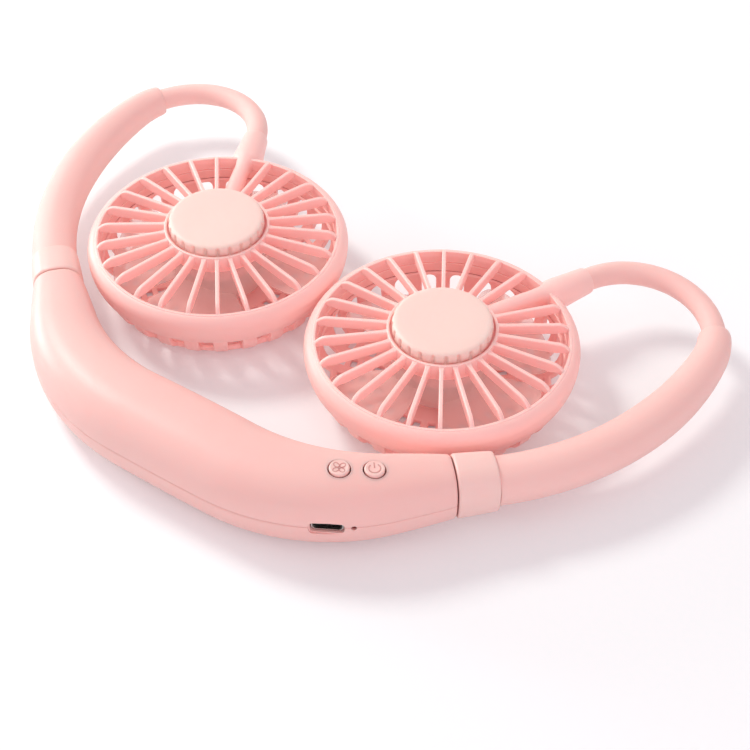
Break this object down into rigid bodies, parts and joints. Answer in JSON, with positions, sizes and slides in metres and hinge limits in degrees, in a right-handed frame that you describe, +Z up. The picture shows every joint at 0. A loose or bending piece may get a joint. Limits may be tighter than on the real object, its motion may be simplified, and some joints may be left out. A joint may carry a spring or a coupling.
{
  "type": "neck fan",
  "caption": "Wearable neck fan: a curved neckband with soft arms and bendable tubes that carry round fan heads with domed vane grilles and twist-off scent caps.",
  "frame": {"origin": "on the neckband's flat underside, at the middle of its back, in the plane the object rests on", "axes": "+Z up, the way the grilles face; +Y from the neckband's back to the open front; +X to the wearer's right"},
  "size_m": [0.1956, 0.1276, 0.0228],
  "materials": {
    "shell": "fine satin moulded plastic, peach pink",
    "collar": "satin moulded plastic, lighter peach",
    "button": "satin moulded plastic",
    "cap": "satin moulded plastic, pale peach",
    "silicone": "soft matte silicone, peach pink",
    "clear_plastic": "clear grey-pink plastic",
    "steel": "plain steel",
    "foil": "foil pouch",
    "lead": "insulated wire",
    "board": "solder mask",
    "black_plastic": "moulded plastic",
    "light": "clear light pipe",
    "felt": "felt pad"
  },
  "bodies": {
    "neckband": {"neckband_top_shell": "shell", "neckband_bottom_shell": "shell", "left_collar": "collar", "right_collar": "collar", "battery_pouch": "foil", "battery_lead": "lead", "control_board": "board", "charge_port": "steel", "charge_light": "light", "speed_switch": "black_plastic", "power_switch": "black_plastic", "left_shell_screw": "steel", "right_shell_screw": "steel", "left_arm_sleeve": "silicone", "right_arm_sleeve": "silicone"},
    "speed_button": {"speed_button": "button"},
    "power_button": {"power_button": "button"},
    "left_arm": {"left_flex_tube": "silicone", "left_gooseneck": "steel", "left_motor_lead": "lead", "left_tube_ferrule": "steel"},
    "left_head": {"left_front_grille": "shell", "left_rear_guard": "shell", "left_motor": "steel", "left_aroma_pad": "felt"},
    "left_impeller": {"left_impeller": "clear_plastic", "left_motor_shaft": "steel"},
    "left_cap": {"left_aroma_cap": "cap"},
    "right_arm": {"right_flex_tube": "silicone", "right_gooseneck": "steel", "right_motor_lead": "lead", "right_tube_ferrule": "steel"},
    "right_head": {"right_front_grille": "shell", "right_rear_guard": "shell", "right_motor": "steel", "right_aroma_pad": "felt"},
    "right_impeller": {"right_impeller": "clear_plastic", "right_motor_shaft": "steel"},
    "right_cap": {"right_aroma_cap": "cap"}
  },
  "joints": [
    {"name": "left_arm_bend", "type": "hinge", "parent": "neckband", "child": "left_arm", "pos_m": [-0.05883, 0.10811, 0.01417], "axis": [-0.6547, -0.7559, 0], "range_deg": [-30, 75], "deforming": ["left_flex_tube", "left_gooseneck", "left_motor_lead"]},
    {"name": "left_head_swivel", "type": "hinge", "parent": "left_arm", "child": "left_head", "pos_m": [-0.05355, 0.10099, 0.0143], "axis": [-0.4067, 0.9135, 0], "range_deg": [-90, 90], "deforming": ["left_motor_lead"]},
    {"name": "left_impeller_spin", "type": "hinge", "parent": "left_head", "child": "left_impeller", "pos_m": [-0.03525, 0.05988, 0.0076], "axis": [0, 0, 1], "continuous": true},
    {"name": "left_cap_twist", "type": "hinge", "parent": "left_head", "child": "left_cap", "pos_m": [-0.03525, 0.05988, 0.021], "axis": [0, 0, 1], "range_deg": [0, 45]},
    {"name": "right_arm_bend", "type": "hinge", "parent": "neckband", "child": "right_arm", "pos_m": [0.05883, 0.10811, 0.01417], "axis": [-0.6547, 0.7559, 0], "range_deg": [-30, 75], "deforming": ["right_flex_tube", "right_gooseneck", "right_motor_lead"]},
    {"name": "right_head_swivel", "type": "hinge", "parent": "right_arm", "child": "right_head", "pos_m": [0.05355, 0.10099, 0.0143], "axis": [0.4067, 0.9135, 0], "range_deg": [-90, 90], "deforming": ["right_motor_lead"]},
    {"name": "right_impeller_spin", "type": "hinge", "parent": "right_head", "child": "right_impeller", "pos_m": [0.03525, 0.05988, 0.0076], "axis": [0, 0, 1], "continuous": true},
    {"name": "right_cap_twist", "type": "hinge", "parent": "right_head", "child": "right_cap", "pos_m": [0.03525, 0.05988, 0.021], "axis": [0, 0, 1], "range_deg": [0, 45]},
    {"name": "speed_button_press", "type": "slide", "parent": "neckband", "child": "speed_button", "axis": [0, 0, -1], "range_m": [0, 0.0006], "stiffness_N_per_m": 1500},
    {"name": "power_button_press", "type": "slide", "parent": "neckband", "child": "power_button", "axis": [0, 0, -1], "range_m": [0, 0.0006], "stiffness_N_per_m": 1500}
  ]
}
